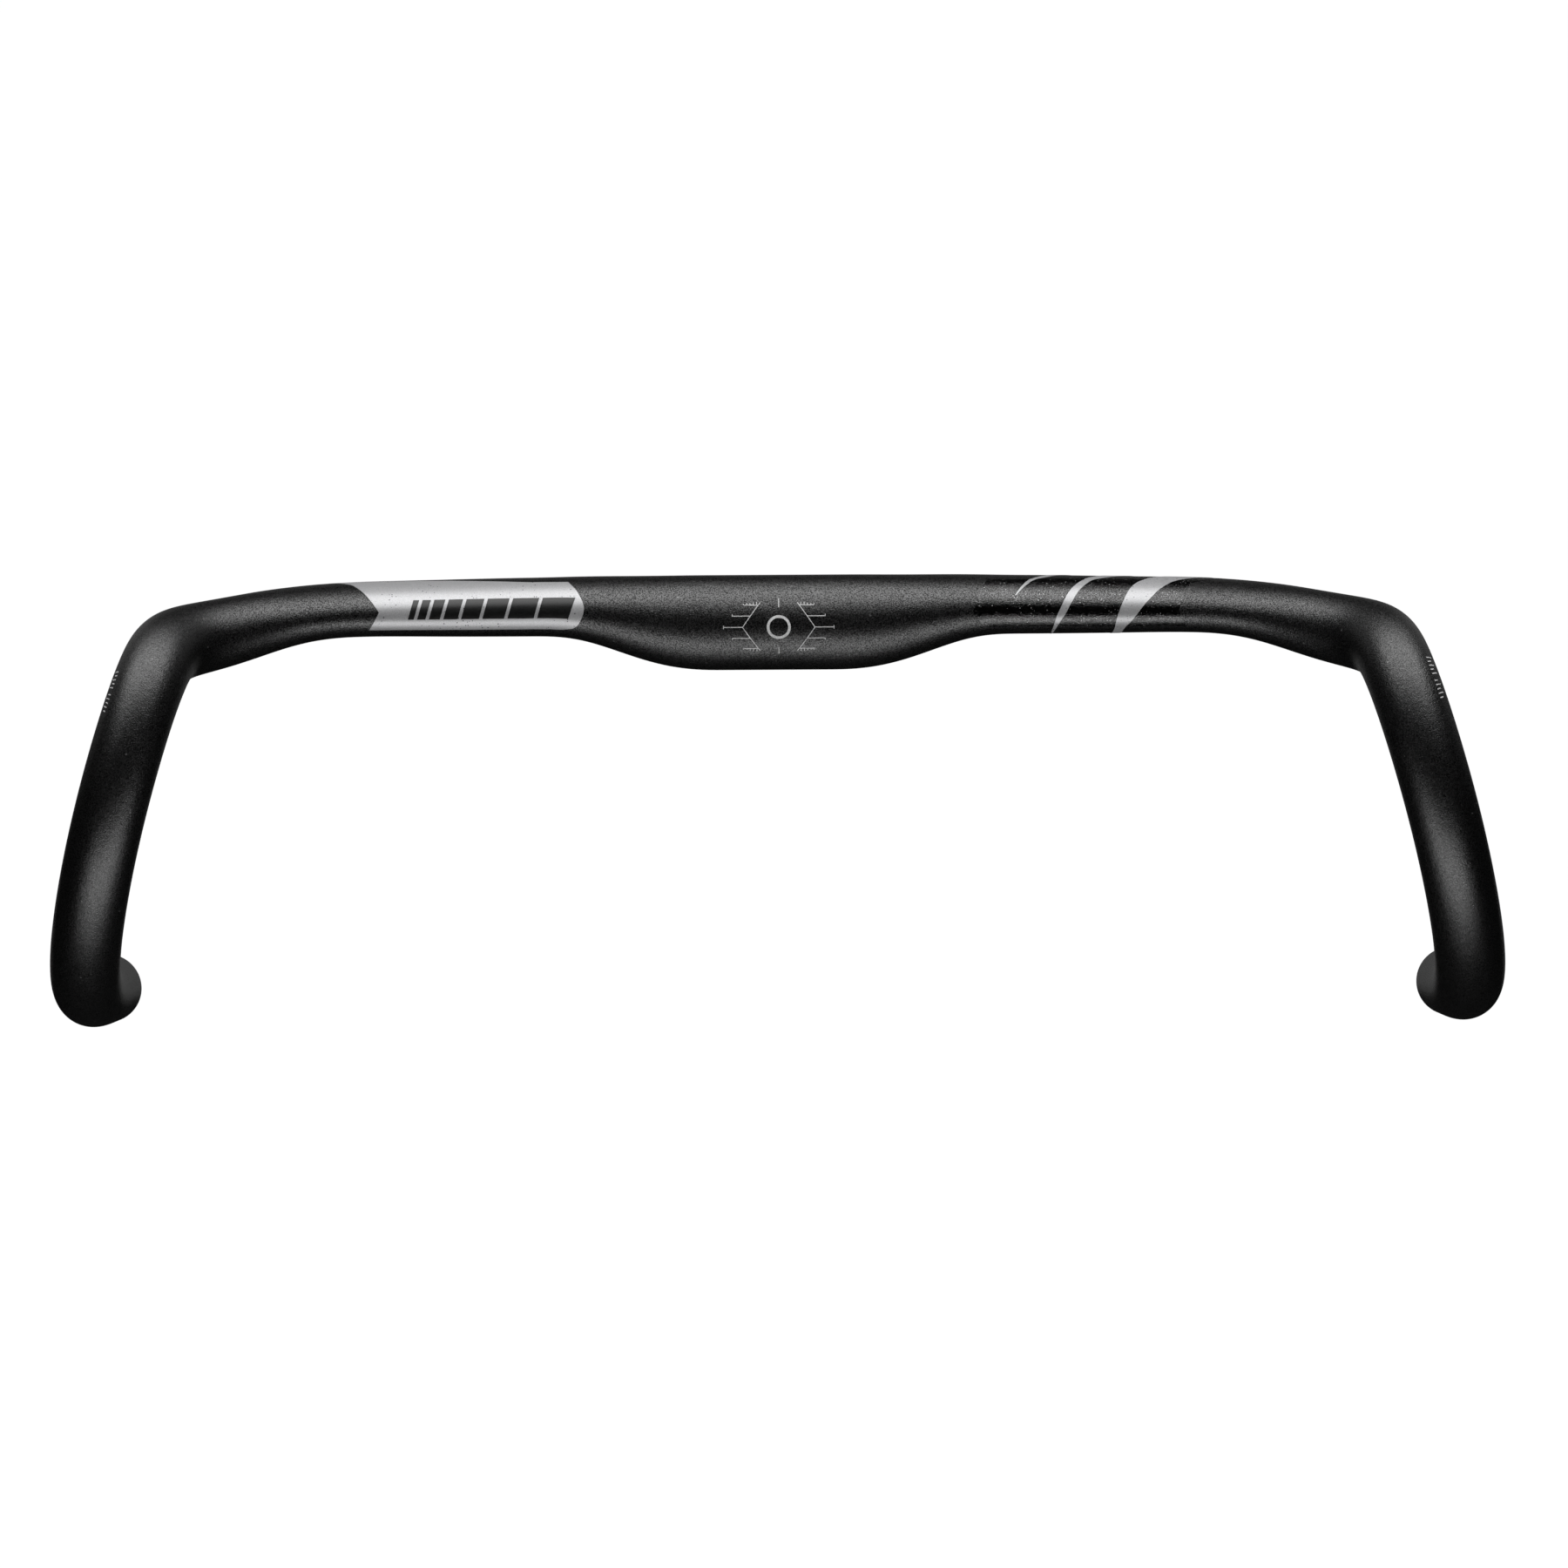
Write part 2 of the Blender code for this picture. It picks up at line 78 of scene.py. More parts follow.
# ------------------------------------------------------------------------------------------------ the bar's form
# the same bend and section tables as the CAD model's: stations in mm along the axis, angles in degrees
HALF_LENGTH = 423
BEND_SMOOTHING = 16
FLARE = 14.8
TOE_OUT = 6.7
PLAN_TABLE = (
    (60, 0.0), (85, 1.3), (105, 2.3), (125, 2.7), (143, 8.4), (158, 21.8), (170, 32.2),
    (181, 36.0), (192, 36.0), (204, 48.9), (218, 90.0 - TOE_OUT),
)
DIP_TABLE = ((100, 0.0), (120, -0.5), (140, -0.8), (160, 3.4), (180, 6.2), (200, -1.1), (220, -1.0), (240, 0.0))
HOOK_TABLE = (
    (130, 0.0), (184, -0.1), (198, -0.6), (212, -0.6), (228, 29.6), (248, 59.4), (272, 81.0),
    (298, 102.7), (324, 119.0), (350, 135.8), (375, 152.1), (395, 165.4),
)
CLAMP_RADIUS = 15.9
GRIP_RADIUS = 11.66
WING_HALF_DEPTH = 13.8
WING_HALF_HEIGHT = 9.57
WING_RISE = 5.8
BULGE_START, BULGE_END = 17.4, 82.8
RISE_START, RISE_END = 17.3, 79.6
ROUND_START, ROUND_END = 138.8, 199.9
HEIGHT_TABLE = ((80, 0.0), (100, -0.2), (130, -0.7), (160, -0.9), (190, -0.1), (215, 0.8), (240, 0.0))
HEIGHT_SMOOTHING = 20
WALL_TABLE = ((0, 2.6), (45, 2.6), (100, 2.0), (180, 2.2), (250, 2.2), (320, 1.8), (423, 1.8))


def smoothstep(x):
    x = np.clip(x, 0.0, 1.0)
    return x * x * x * (x * (6.0 * x - 15.0) + 10.0)


def blend(values, width):
    padded = np.concatenate([np.full(width, values[0]), values, np.full(width, values[-1])])
    window = np.ones(width + 1) / (width + 1)
    return np.convolve(padded, window, "same")[width:-width]


def table(x, rows, column=1):
    return np.interp(x, [r[0] for r in rows], [r[column] for r in rows])


class Bar:
    """Axis and section of the bar at every millimetre of one half; the other half is its mirror image."""

    def __init__(self):
        s = np.arange(HALF_LENGTH + 1, dtype=float)
        toe, flare = np.radians(TOE_OUT), np.radians(FLARE)
        ahead = np.array([np.sin(toe), -np.cos(toe), 0.0])
        down = np.array([np.sin(flare) * np.cos(toe), np.sin(flare) * np.sin(toe), -np.cos(flare)])
        hinge = np.cross(ahead, down)
        heading, dip, turn = (
            blend(blend(np.radians(table(s, rows)), BEND_SMOOTHING), BEND_SMOOTHING)
            for rows in (PLAN_TABLE, DIP_TABLE, HOOK_TABLE)
        )
        flat = np.stack([np.cos(heading) * np.cos(dip), -np.sin(heading) * np.cos(dip), -np.sin(dip)], 1)
        c, n = np.cos(turn)[:, None], np.sin(turn)[:, None]
        along = flat * c + np.cross(hinge, flat) * n + hinge * (flat @ hinge)[:, None] * (1.0 - c)
        along /= np.linalg.norm(along, axis=1)[:, None]
        axis = np.zeros_like(along)
        axis[1:] = np.cumsum((along[:-1] + along[1:]) / 2.0, axis=0)
        bulge = smoothstep((s - BULGE_START) / (BULGE_END - BULGE_START))
        rise = smoothstep((s - RISE_START) / (RISE_END - RISE_START))
        rounding = smoothstep((s - ROUND_START) / (ROUND_END - ROUND_START))
        extra = blend(blend(table(s, HEIGHT_TABLE), HEIGHT_SMOOTHING), HEIGHT_SMOOTHING)
        depth = WING_HALF_DEPTH * (1 - rounding) + GRIP_RADIUS * rounding
        height = WING_HALF_HEIGHT * (1 - rounding) + GRIP_RADIUS * rounding
        self.station = s
        self.half_depth = CLAMP_RADIUS * (1 - bulge) + depth * bulge
        self.half_height = CLAMP_RADIUS * (1 - bulge) + height * bulge + extra
        self.wall = table(s, WALL_TABLE)
        axis[:, 2] += WING_RISE * rise
        self.axis = axis
        along = np.gradient(axis, axis=0)
        along /= np.linalg.norm(along, axis=1)[:, None]
        self.along = along
        up = np.zeros_like(axis)
        up[0] = (0.0, 0.0, 1.0)
        for i in range(1, len(s)):
            v = up[i - 1] - np.dot(up[i - 1], along[i]) * along[i]
            up[i] = v / np.linalg.norm(v)
        self.up = up
        self.lead = np.cross(along, up)

    def _read(self, values, k):
        if values.ndim == 1:
            return np.interp(k, self.station, values)
        return np.stack([np.interp(k, self.station, values[:, i]) for i in range(3)], -1)

    def points(self, station, turn, lift):
        """Points in mm for arrays of stations and turns, lift above the surface."""
        station, turn, lift = np.broadcast_arrays(
            np.asarray(station, float), np.asarray(turn, float), np.asarray(lift, float)
        )
        k = np.abs(station)
        a, b = self._read(self.half_depth, k)[..., None], self._read(self.half_height, k)[..., None]
        lead, up, centre = self._read(self.lead, k), self._read(self.up, k), self._read(self.axis, k)
        f = np.radians(turn)[..., None]
        outward = lead * np.sin(f) / a + up * np.cos(f) / b
        outward /= np.linalg.norm(outward, axis=-1, keepdims=True)
        p = centre + lead * a * np.sin(f) + up * b * np.cos(f) + outward * lift[..., None]
        p[..., 0] *= np.where(station < 0, -1.0, 1.0)
        return p


BAR = Bar()


# ------------------------------------------------------------------------------------------------ meshes
def finish_mesh(name, verts, faces, material, nodes=(), smooth=40.0):
    """A named piece in metres that rides on the bar and stands for the CAD nodes named."""
    mesh = bpy.data.meshes.new(name)
    mesh.from_pydata([tuple(v) for v in np.asarray(verts, float) * MM], [], [tuple(f) for f in faces])
    bm = bmesh.new()
    bm.from_mesh(mesh)
    bmesh.ops.recalc_face_normals(bm, faces=bm.faces)
    bm.to_mesh(mesh)
    bm.free()
    mesh.validate()
    mesh.shade_smooth()
    mesh.set_sharp_from_angle(angle=math.radians(smooth))
    mesh.materials.append(material)
    piece = bpy.data.objects.new(name, mesh)
    bpy.context.scene.collection.objects.link(piece)
    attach(piece, "root")
    if nodes:
        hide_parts(*nodes)
    return piece


def film(nodes, lifts, mask=None, loop=False):
    """A closed film over a grid of (station, turn) nodes, as vertices and faces."""
    grid = np.asarray(nodes, float)
    rows, columns = grid.shape[:2]
    cells = columns if loop else columns - 1
    under = BAR.points(grid[..., 0], grid[..., 1], lifts[0])
    over = BAR.points(grid[..., 0], grid[..., 1], lifts[1])
    verts = np.concatenate([under.reshape(-1, 3), over.reshape(-1, 3)])
    if mask is None:
        mask = np.ones((rows - 1, cells), bool)
    mask = np.asarray(mask, bool)

    def vid(i, j, side):
        return side * rows * columns + i * columns + (j % columns)

    def there(i, j):
        if loop:
            j %= cells
        return 0 <= i < rows - 1 and 0 <= j < cells and mask[i, j]

    faces = []
    for i in range(rows - 1):
        for j in range(cells):
            if not mask[i, j]:
                continue
            c = ((i, j), (i, j + 1), (i + 1, j + 1), (i + 1, j))
            faces.append([vid(a, b, 1) for a, b in c])
            faces.append([vid(a, b, 0) for a, b in reversed(c)])
            for (a, b), near in (((0, 1), (i - 1, j)), ((1, 2), (i, j + 1)), ((2, 3), (i + 1, j)), ((3, 0), (i, j - 1))):
                if not there(*near):
                    p, q = c[a], c[b]
                    faces.append([vid(*p, 0), vid(*q, 0), vid(*q, 1), vid(*p, 1)])
    used = np.unique(np.concatenate([np.asarray(f) for f in faces]))
    renumber = np.full(len(verts), -1)
    renumber[used] = np.arange(len(used))
    return verts[used], [[int(renumber[v]) for v in f] for f in faces]


def join(parts):
    """Several (vertices, faces) as one."""
    verts, faces, base = [], [], 0
    for v, f in parts:
        verts.append(v)
        faces += [[i + base for i in face] for face in f]
        base += len(v)
    return np.concatenate(verts), faces


def make_tube(material):
    """The tube at its full smoothness: outside, bore, and ends with a broken edge."""
    sides, bore_sides = 96, 48
    half = sorted(set(range(0, HALF_LENGTH - 1, 2)) | set(range(186, 262)) | {HALF_LENGTH - 1})
    half = np.array(half, float)
    places = np.concatenate([-half[:0:-1], half])
    chamfer = 0.35
    turns = np.arange(sides) * 360.0 / sides
    verts, rings = [], []
    count = 0

    def ring(points):
        nonlocal count
        verts.append(points)
        rings.append(list(range(count, count + len(points))))
        count += len(points)

    end = float(HALF_LENGTH)
    wall_end = float(table(end, WALL_TABLE))
    # outside, from the right end to the left end
    ring(BAR.points(np.full(sides, -end), turns, -chamfer))
    ring(BAR.points(np.full(sides, -(end - chamfer)), turns, 0.0))
    for s in places[1:-1]:
        ring(BAR.points(np.full(sides, s), turns, 0.0))
    ring(BAR.points(np.full(sides, end - chamfer), turns, 0.0))
    ring(BAR.points(np.full(sides, end), turns, -chamfer))
    # bore, back again
    turns = np.arange(bore_sides) * 360.0 / bore_sides
    small = 0.25
    ring(BAR.points(np.full(bore_sides, end), turns, -(wall_end - small)))
    ring(BAR.points(np.full(bore_sides, end - small), turns, -wall_end))
    bores = np.arange(-(HALF_LENGTH - 3), HALF_LENGTH - 2, 4)[::-1]
    for s in bores:
        ring(BAR.points(np.full(bore_sides, float(s)), turns, -table(abs(s), WALL_TABLE)))
    ring(BAR.points(np.full(bore_sides, -(end - small)), turns, -wall_end))
    ring(BAR.points(np.full(bore_sides, -end), turns, -(wall_end - small)))
    faces = []
    n = len(rings)
    for i in range(n):
        a, b = rings[i], rings[(i + 1) % n]
        if len(a) == len(b):
            m = len(a)
            faces += [[a[j], a[(j + 1) % m], b[(j + 1) % m], b[j]] for j in range(m)]
        else:
            big, little = (a, b) if len(a) > len(b) else (b, a)
            r = len(big) // len(little)
            for j in range(len(little)):
                k = (j + 1) % len(little)
                arc = [big[(j * r + q) % len(big)] for q in range(r + 1)]
                faces.append([little[j], arc[0], arc[1]])
                faces.append([little[j], arc[1], little[k]])
                faces.append([little[k], arc[1], arc[2]])
    return finish_mesh("tube_skin", np.concatenate(verts), faces, material, ["handlebar_tube"], smooth=30.0)


# ------------------------------------------------------------------------------------------------ materials
def node_material(name):
    m = bpy.data.materials.new(name)
    m.use_nodes = True
    return m, m.node_tree, m.node_tree.nodes["Principled BSDF"]


def add(tree, kind, **settings):
    n = tree.nodes.new(kind)
    for k, v in settings.items():
        setattr(n, k, v)
    return n


def noise(tree, coords, scale, detail=2.0, rough=0.5, distortion=0.0):
    n = add(tree, "ShaderNodeTexNoise")
    n.inputs["Scale"].default_value = scale
    n.inputs["Detail"].default_value = detail
    n.inputs["Roughness"].default_value = rough
    n.inputs["Distortion"].default_value = distortion
    tree.links.new(coords, n.inputs["Vector"])
    return n.outputs["Fac"]


def ramp(tree, value, low, high, a=0.0, b=1.0, smooth=True):
    n = add(tree, "ShaderNodeMapRange")
    n.interpolation_type = "SMOOTHSTEP" if smooth else "LINEAR"
    n.inputs["From Min"].default_value = low
    n.inputs["From Max"].default_value = high
    n.inputs["To Min"].default_value = a
    n.inputs["To Max"].default_value = b
    tree.links.new(value, n.inputs["Value"])
    return n.outputs["Result"]


def dots(tree, coords, scale, share, size):
    """Small round dots, in this share of the cells of an irregular honeycomb."""
    n = add(tree, "ShaderNodeTexVoronoi")
    n.inputs["Scale"].default_value = scale
    tree.links.new(coords, n.inputs["Vector"])
    chosen = ramp(tree, n.outputs["Color"], 1.0 - share, 1.0 - share + 0.01)
    near = ramp(tree, n.outputs["Distance"], size * 0.7, size, 1.0, 0.0)
    both = add(tree, "ShaderNodeMath", operation="MULTIPLY")
    tree.links.new(chosen, both.inputs[0])
    tree.links.new(near, both.inputs[1])
    return both.outputs[0]


def mix(tree, factor, a, b):
    n = add(tree, "ShaderNodeMix", data_type="RGBA")
    for key, v in (("A", a), ("B", b)):
        socket = n.inputs[6] if key == "A" else n.inputs[7]
        if isinstance(v, tuple):
            socket.default_value = (*v, 1.0)
        else:
            tree.links.new(v, socket)
    tree.links.new(factor, n.inputs[0])
    return n.outputs[2]


def bump(tree, height, strength, distance, normal=None):
    n = add(tree, "ShaderNodeBump")
    n.inputs["Strength"].default_value = strength
    n.inputs["Distance"].default_value = distance
    tree.links.new(height, n.inputs["Height"])
    if normal is not None:
        tree.links.new(normal, n.inputs["Normal"])
    return n.outputs["Normal"]


def matt_black():
    """Blasted and anodised black aluminium: a fine sandy grain over a faint leathery unevenness."""
    m, t, p = node_material("matt_black_anodised")
    co = add(t, "ShaderNodeTexCoord").outputs["Object"]
    grain = noise(t, co, 2900.0, 1.0, 0.6)
    sand = noise(t, co, 2500.0, 1.0, 0.6, 0.2)
    leather = noise(t, co, 620.0, 2.0, 0.5)
    base = mix(t, ramp(t, grain, 0.38, 0.66), (0.0004, 0.0004, 0.0004), (0.0100, 0.0100, 0.0102))
    base = mix(t, dots(t, co, 1300.0, 0.06, 0.5), base, (0.10, 0.10, 0.10))
    t.links.new(base, p.inputs["Base Color"])
    t.links.new(ramp(t, grain, 0.32, 0.68, 0.26, 0.40, False), p.inputs["Roughness"])
    # the tops are blasted coarsely, the grips softly and with more of the leathery unevenness
    place = add(t, "ShaderNodeSeparateXYZ")
    t.links.new(co, place.inputs[0])
    out = add(t, "ShaderNodeMath", operation="ABSOLUTE")
    t.links.new(place.outputs["X"], out.inputs[0])
    grip = ramp(t, out.outputs[0], 0.165, 0.215)
    # bare tips of the grain reflect more than the dyed hollows between them
    coarse = ramp(t, sand, 0.38, 0.60, 0.80, 0.0)
    soft = ramp(t, sand, 0.34, 0.66, 0.56, 0.12)
    between = add(t, "ShaderNodeMix", data_type="FLOAT")
    for socket, link in zip((between.inputs[0], between.inputs[2], between.inputs[3]), (grip, coarse, soft)):
        t.links.new(link, socket)
    t.links.new(between.outputs[0], p.inputs["Metallic"])
    n = bump(t, leather, 0.30, 0.00010)
    t.links.new(ramp(t, grip, 0.0, 1.0, 0.25, 0.85), n.node.inputs["Strength"])
    n = bump(t, grain, 1.0, 0.00011, n)
    t.links.new(n, p.inputs["Normal"])
    p.inputs["Specular IOR Level"].default_value = 1.0
    return m


def satin_silver():
    """Satin metallic silver over the blasted metal: fine flake, and dark pinholes here and there."""
    m, t, p = node_material("satin_silver_film")
    co = add(t, "ShaderNodeTexCoord").outputs["Object"]
    flake = noise(t, co, 3000.0, 2.0, 0.6)
    patch = noise(t, co, 90.0, 2.0, 0.5)
    base = mix(t, ramp(t, flake, 0.35, 0.65), (0.36, 0.36, 0.365), (0.45, 0.45, 0.46))
    holes = add(t, "ShaderNodeMath", operation="MULTIPLY")
    t.links.new(dots(t, co, 1500.0, 0.22, 0.42), holes.inputs[0])
    t.links.new(ramp(t, patch, 0.44, 0.60), holes.inputs[1])
    base = mix(t, holes.outputs[0], base, (0.05, 0.05, 0.055))
    t.links.new(base, p.inputs["Base Color"])
    t.links.new(ramp(t, flake, 0.3, 0.7, 0.34, 0.46, False), p.inputs["Roughness"])
    t.links.new(bump(t, flake, 0.5, 0.00003), p.inputs["Normal"])
    p.inputs["Metallic"].default_value = 0.42
    return m


def gloss_black():
    """Clear gloss over the blasted black: crisp reflections broken up by the grain underneath."""
    m, t, p = node_material("gloss_black_film")
    co = add(t, "ShaderNodeTexCoord").outputs["Object"]
    grain = noise(t, co, 2600.0, 1.0, 0.6)
    base = mix(t, ramp(t, grain, 0.36, 0.68), (0.0005, 0.0005, 0.0005), (0.0045, 0.0045, 0.0045))
    base = mix(t, dots(t, co, 2400.0, 0.14, 0.5), base, (0.26, 0.26, 0.26))
    t.links.new(base, p.inputs["Base Color"])
    t.links.new(ramp(t, grain, 0.3, 0.7, 0.05, 0.15, False), p.inputs["Roughness"])
    t.links.new(bump(t, grain, 1.0, 0.00012), p.inputs["Normal"])
    sand = noise(t, co, 3000.0, 0.0, 0.5, 0.3)
    t.links.new(ramp(t, sand, 0.40, 0.60, 0.66, 0.0), p.inputs["Metallic"])
    p.inputs["Specular IOR Level"].default_value = 1.0
    return m


def ink(name, low, high, roughness):
    """Screen or pad print: nearly even, with the tooth of the blasted metal showing through."""
    m, t, p = node_material(name)
    co = add(t, "ShaderNodeTexCoord").outputs["Object"]
    tooth = noise(t, co, 2600.0, 2.0, 0.6)
    t.links.new(mix(t, ramp(t, tooth, 0.35, 0.65), low, high), p.inputs["Base Color"])
    t.links.new(ramp(t, tooth, 0.3, 0.7, roughness - 0.06, roughness + 0.06, False), p.inputs["Roughness"])
    t.links.new(bump(t, tooth, 0.4, 0.00003), p.inputs["Normal"])
    return m


# ------------------------------------------------------------------------------------------------ graphics
LOWER_EDGE = 118.0
UPPER_EDGE = ((70, 15.0), (84, 12.0), (96, 5.5), (110, -3.0), (125, -10.0), (148, -17.0))
SILVER_INNER = ((-20, 72.0), (15, 69.6), (21, 69.0), (41, 66.5), (74, 64.0), (97, 65.0), (113, 67.5), (118, 71.0))
SILVER_OUTER = ((-20, 148.0), (-4, 144.0), (6, 141.5), (33, 138.0), (58, 135.0), (76, 133.0), (118, 136.7))
GLOSS_INNER = ((-20, 73.0), (15, 71.0), (26, 70.0), (45, 68.0), (80, 66.0), (110, 68.5), (118, 71.5))
GLOSS_OUTER = ((-20, 149.0), (-4, 145.0), (18, 139.0), (50, 137.0), (80, 135.5), (118, 138.4))


def cubic(x, rows, column):
    """Smooth reading of a table: monotone cubic through its rows."""
    kx = np.array([r[0] for r in rows], float)
    ky = np.array([r[column] for r in rows], float)
    h, d = np.diff(kx), np.diff(ky) / np.diff(kx)
    m = np.zeros(len(kx))
    m[0], m[-1] = d[0], d[-1]
    for i in range(1, len(kx) - 1):
        if d[i - 1] * d[i] > 0:
            w1, w2 = 2 * h[i] + h[i - 1], h[i] + 2 * h[i - 1]
            m[i] = (w1 + w2) / (w1 / d[i - 1] + w2 / d[i])
    x = np.asarray(x, float)
    i = np.clip(np.searchsorted(kx, x) - 1, 0, len(kx) - 2)
    t = (x - kx[i]) / h[i]
    return (
        (1 + 2 * t) * (1 - t) ** 2 * ky[i] + t * (1 - t) ** 2 * h[i] * m[i]
        + t * t * (3 - 2 * t) * ky[i + 1] + t * t * (t - 1) * h[i] * m[i + 1]
    )


def panel_nodes(side, inner, outer, rounded_nose=False, across=72, along=100):
    """A wrapped panel between its two cut ends; the inner end may be rounded through its rows."""
    nodes = []
    for v in np.linspace(0.0, 1.0, across):
        ends = []
        for rows, start, read in ((inner, 70.0, cubic if rounded_nose else table), (outer, 140.0, table)):
            station = start
            for _ in range(8):
                station = float(read(LOWER_EDGE + v * (table(station, UPPER_EDGE) - LOWER_EDGE), rows, 1))
            ends.append(station)
        row = []
        for u in np.linspace(0.0, 1.0, along):
            station = ends[0] + u * (ends[1] - ends[0])
            row.append((side * station, LOWER_EDGE + v * (table(station, UPPER_EDGE) - LOWER_EDGE)))
        nodes.append(row)
    return nodes


STRIPE_INNER = ((-62, 104.0, 104.4), (-40, 98.0, 101.5), (-18, 92.5, 96.0), (4, 87.0, 90.0), (12, 85.0, 87.0),
                (30, 82.4, 83.6), (52, 79.9, 80.2))
STRIPE_MIDDLE = ((-66, 124.0, 124.6), (-42, 116.5, 122.0), (-20, 110.0, 117.5), (-2, 105.8, 111.5), (5, 104.0, 108.6),
                 (12, 102.8, 106.0), (22, 101.0, 104.2), (44, 98.0, 101.0), (59, 96.6, 99.5), (73, 95.5, 98.2),
                 (92, 94.0, 96.5), (100, 93.6, 95.6), (130, 92.4, 93.3), (157, 91.8, 92.1))
STRIPE_OUTER = ((-66, 146.0, 146.8), (-42, 138.0, 146.5), (-20, 130.5, 143.5), (1, 124.5, 137.0), (8, 123.0, 134.5),
                (20, 120.5, 131.6), (26, 119.6, 130.4), (40, 118.0, 127.8), (52, 117.0, 126.0), (72, 115.5, 123.0),
                (100, 114.0, 119.5), (126, 113.2, 116.5), (158, 112.0, 115.0), (180, 111.0, 113.0), (200, 110.0, 110.4))


def stripe_nodes(rows, columns=9):
    turns = np.arange(rows[0][0], rows[-1][0] + 0.01, 2.0)
    a, b = cubic(turns, rows, 1), cubic(turns, rows, 2)
    return [[(a[i] + (b[i] - a[i]) * u, t) for u in np.linspace(0, 1, columns)] for i, t in enumerate(turns)]


BLOCK_WIDTHS = (10.5, 8.8, 7.3, 6.0, 4.8, 3.7, 2.8, 2.0)
BLOCK_SPACE = 1.15
BLOCK_START = 69.0
BLOCK_LEAN = 2.0
BLOCK_TURNS = (52.0, 92.0)


def block_films(lifts):
    """The row of leaning blocks on the silver panel."""
    head, foot = BLOCK_TURNS
    parts, start = [], BLOCK_START
    for width in BLOCK_WIDTHS:
        turns = np.linspace(head, foot, 22)
        nodes = []
        for t in turns:
            shift = BLOCK_LEAN * (foot - t) / (foot - head)
            nodes.append([(-(start - shift + u * width), t) for u in np.linspace(0, 1, max(3, int(width) + 2))])
        parts.append(film(nodes, lifts))
        start += width + BLOCK_SPACE
    return join(parts)


MARK_STATION = 1.1
MARK_TURN = 81.5
CHEVRON = ((51.0, 6.15), (81.5, 12.05), (112.0, 6.15))
RULE_TURNS = (54.4, 68.0, 81.5, 95.0, 108.6)
RULE_LENGTHS = (5.0, 6.15, 6.45, 6.1, 5.1)       # mm from the chevron, the top rule first
TICK_START, TICK_PITCH = 0.53, 1.11              # mm from the chevron to the first tick, and between ticks
TICK_LENGTHS = (1.0, 0.9, 0.62, 0.5, 0.42)       # mm, outwards from the chevron
CENTRE_TICK_TURNS = ((45.5, 57.0), (107.5, 116.5))
EMBLEM_RADII = (3.1, 4.0)
PER_MM = math.degrees(1.0 / CLAMP_RADIUS)
LINE = 0.26


def stroke(points, width, lifts=(0.0, 0.03)):
    """A printed line through (mm along from the mark's centre, mm below it) points on the clamp zone."""
    pts = np.asarray(points, float)
    parts = []
    for a, b in zip(pts[:-1], pts[1:]):
        d = b - a
        length = np.linalg.norm(d)
        d = d / length
        n = np.array([-d[1], d[0]]) * width / 2.0
        steps = max(2, int(length / 0.5) + 1)
        nodes = []
        for t in np.linspace(0.0, length, steps):
            c = a + d * t
            nodes.append([
                (MARK_STATION + q[0], MARK_TURN + q[1] * PER_MM) for q in (c - n, c + n)
            ])
        parts.append(film(nodes, lifts))
    return join(parts)


def scale_parts(side):
    """A chevron with five rules: ticks on the outer two, a short end mark on the inner three."""
    def down(turn):
        return (turn - MARK_TURN) / PER_MM

    half = LINE / 2.0
    parts = [stroke([(side * d, down(t)) for t, d in CHEVRON], LINE)]
    for i, (t, length) in enumerate(zip(RULE_TURNS, RULE_LENGTHS)):
        base, y = table(t, CHEVRON), down(t)
        parts.append(stroke([(side * base, y), (side * (base + length), y)], LINE))
        if i in (0, 4):
            way = -1.0 if i == 0 else 1.0
            for k, tick in enumerate(TICK_LENGTHS):
                x = side * (base + TICK_START + k * TICK_PITCH)
                parts.append(stroke([(x, y + way * half), (x, y + way * (half + tick))], LINE * 0.9))
        else:
            x = side * (base + length - half)
            above, below = ((0.5, 0.0), (0.45, 0.45), (0.0, 0.4))[i - 1]
            for way, reach in ((-1.0, above), (1.0, below)):
                if reach:
                    parts.append(stroke([(x, y + way * half), (x, y + way * (half + reach))], LINE))
    return join(parts)


def ring_film(inner, outer, lifts=(0.0, 0.03), steps=72):
    """A plain ring in the middle of the clamp's marks."""
    angles = np.arange(steps) * 2 * np.pi / steps
    nodes = [
        [(MARK_STATION + r * math.cos(q), MARK_TURN + r * math.sin(q) * PER_MM) for q in angles]
        for r in (inner, outer)
    ]
    return film(nodes, lifts, loop=True)


SIZE_ROWS = {1.0: ((234.8, 247.8), (-42.0, -27.0)), -1.0: ((236.8, 249.7), (-48.0, -35.0))}
SIZE_TICKS = 5
SIZE_GAP = 0.9
SIZE_LINE = 0.34
SIZE_LEAN = 0.7


def size_parts(side):
    """Two groups of leaning ticks along the arm, long and short in turn."""
    (start, end), (outer, inner) = SIZE_ROWS[side]
    count = 2 * SIZE_TICKS
    pitch = (end - SIZE_LINE - start - SIZE_GAP) / (count - 1)
    parts = []
    for i in range(count):
        at = start + pitch * i + (SIZE_GAP if i >= SIZE_TICKS else 0.0)
        tip = outer if i % 2 == 0 else inner + (outer - inner) * 0.62
        parts.append(film([
            [(side * (at + u * SIZE_LINE - SIZE_LEAN * (inner - t) / (inner - outer)), t) for u in (0.0, 0.5, 1.0)]
            for t in np.linspace(inner, tip, 9)
        ], (0.0, 0.03)))
    return join(parts)


# ------------------------------------------------------------------------------------------------ build
make_camera()
BLACK, SILVER, GLOSS = matt_black(), satin_silver(), gloss_black()
INK_BLACK = ink("print_black", (0.0010, 0.0010, 0.0010), (0.0060, 0.0060, 0.0060), 0.34)
INK_WHITE = ink("print_white", (0.46, 0.46, 0.46), (0.70, 0.70, 0.70), 0.5)

